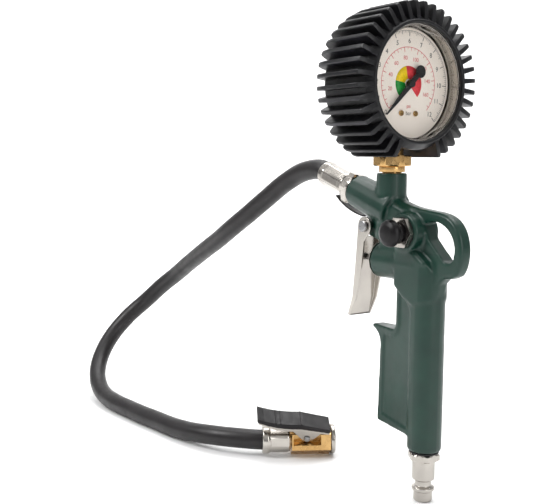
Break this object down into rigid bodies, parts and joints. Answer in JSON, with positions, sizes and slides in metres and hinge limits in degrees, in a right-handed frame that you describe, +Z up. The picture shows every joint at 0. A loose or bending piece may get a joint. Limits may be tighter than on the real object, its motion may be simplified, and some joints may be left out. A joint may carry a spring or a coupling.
{
  "type": "tyre inflator with gauge",
  "caption": "Hand-held tyre inflator: cast grip with trigger valve and bleed button, dial gauge in a finned rubber ring, air plug, and hose with a clip-on chuck.",
  "frame": {"origin": "middle of the grip, on the axis of its air tube, 80 mm above the tip of the air plug", "axes": "+Z up along the grip, -X forward to the trigger and hose boss, +X back where the dial faces, -Y the side of the bleed button"},
  "size_m": [0.3346, 0.1166, 0.2596],
  "materials": {
    "cast_green": "dark green coated casting",
    "nickel": "nickel plated",
    "steel": "plain",
    "brass": "turned",
    "rubber": "matt",
    "black_plastic": "matt",
    "dial_face": "printed",
    "pointer_black": "matt",
    "window": "clear"
  },
  "bodies": {
    "tool": {"body_casting": "cast_green", "air_plug": "nickel", "air_plug_seal": "rubber", "valve_gland": "nickel", "valve_stem_ring": "rubber", "valve_seat": "brass", "valve_seat_ring": "rubber", "valve_spring": "steel", "bleed_housing": "nickel", "bleed_housing_ring": "rubber", "bleed_spring": "steel", "trigger_pin": "steel", "trigger_pin_clip": "steel", "guard_strip": "black_plastic", "hose_union": "nickel", "hose_union_seal": "rubber", "hose_ferrule": "nickel", "hose": "rubber", "chuck_ferrule": "nickel", "chuck_body": "brass", "chuck_mouth_ring": "nickel", "chuck_seal": "rubber", "chuck_core_pin": "brass", "chuck_rivet": "steel", "chuck_lever_spring": "steel", "gauge_protector": "rubber", "gauge_case": "steel", "gauge_window": "window", "gauge_stem": "brass", "gauge_stem_seal": "rubber", "restrictor_screw": "brass", "bourdon_tube": "brass", "bourdon_tube_tip": "brass", "movement_rear_plate": "brass", "movement_front_plate": "brass", "movement_pillar_1": "brass", "movement_pillar_2": "brass", "movement_screw_1": "brass", "movement_screw_2": "brass", "hairspring": "steel", "dial_plate": "dial_face", "dial_screw_1": "brass", "dial_screw_2": "brass"},
    "trigger": {"trigger": "nickel"},
    "valve_stem": {"valve_stem": "steel", "valve_head_seal": "rubber"},
    "bleed_button": {"bleed_button": "black_plastic", "bleed_stem": "brass", "bleed_seal": "rubber"},
    "chuck_lever": {"chuck_lever": "nickel", "chuck_lever_grip": "black_plastic"},
    "pointer": {"pointer": "pointer_black", "pinion_arbor": "brass"},
    "sector": {"sector_gear": "brass"},
    "link": {"tube_link": "brass"}
  },
  "joints": [
    {"name": "trigger_pull", "type": "hinge", "parent": "tool", "child": "trigger", "pos_m": [-0.0426, 0, 0.0624], "axis": [0, -1, 0], "range_deg": [0, 10], "stiffness_Nm_per_rad": 0.4, "springref_deg": -2.86},
    {"name": "valve_stem_slide", "type": "slide", "parent": "tool", "child": "valve_stem", "axis": [1, 0, 0], "range_m": [0, 0.0032], "deforming": ["valve_spring"]},
    {"name": "bleed_button_press", "type": "slide", "parent": "tool", "child": "bleed_button", "axis": [0, 1, 0], "range_m": [0, 0.003], "stiffness_N_per_m": 600, "springref_m": -0.001, "deforming": ["bleed_spring"]},
    {"name": "chuck_lever_press", "type": "hinge", "parent": "tool", "child": "chuck_lever", "pos_m": [-0.08861, -0.01146, -0.0651], "axis": [0.7647, -0.4415, -0.4695], "range_deg": [0, 14], "stiffness_Nm_per_rad": 0.25, "springref_deg": -2.86, "deforming": ["chuck_lever_spring"]},
    {"name": "pointer_sweep", "type": "hinge", "parent": "tool", "child": "pointer", "pos_m": [-0.0163, 0, 0.138], "axis": [-1, 0, 0], "range_deg": [0, 270], "stiffness_Nm_per_rad": 0.0005, "deforming": ["hairspring", "bourdon_tube", "bourdon_tube_tip"]},
    {"name": "sector_turn", "type": "hinge", "parent": "tool", "child": "sector", "pos_m": [-0.0231, 0, 0.1245], "axis": [1, 0, 0], "range_deg": [0, 33.8]},
    {"name": "link_turn", "type": "hinge", "parent": "sector", "child": "link", "pos_m": [-0.0241, 0.005, 0.12], "axis": [-1, 0, 0], "range_deg": [0, 33.8]}
  ],
  "couplings": [
    {"joint": "valve_stem_slide", "follows": "trigger_pull", "m_per_rad": 0.018},
    {"joint": "sector_turn", "follows": "pointer_sweep", "ratio": 0.125},
    {"joint": "link_turn", "follows": "pointer_sweep", "ratio": 0.125}
  ]
}
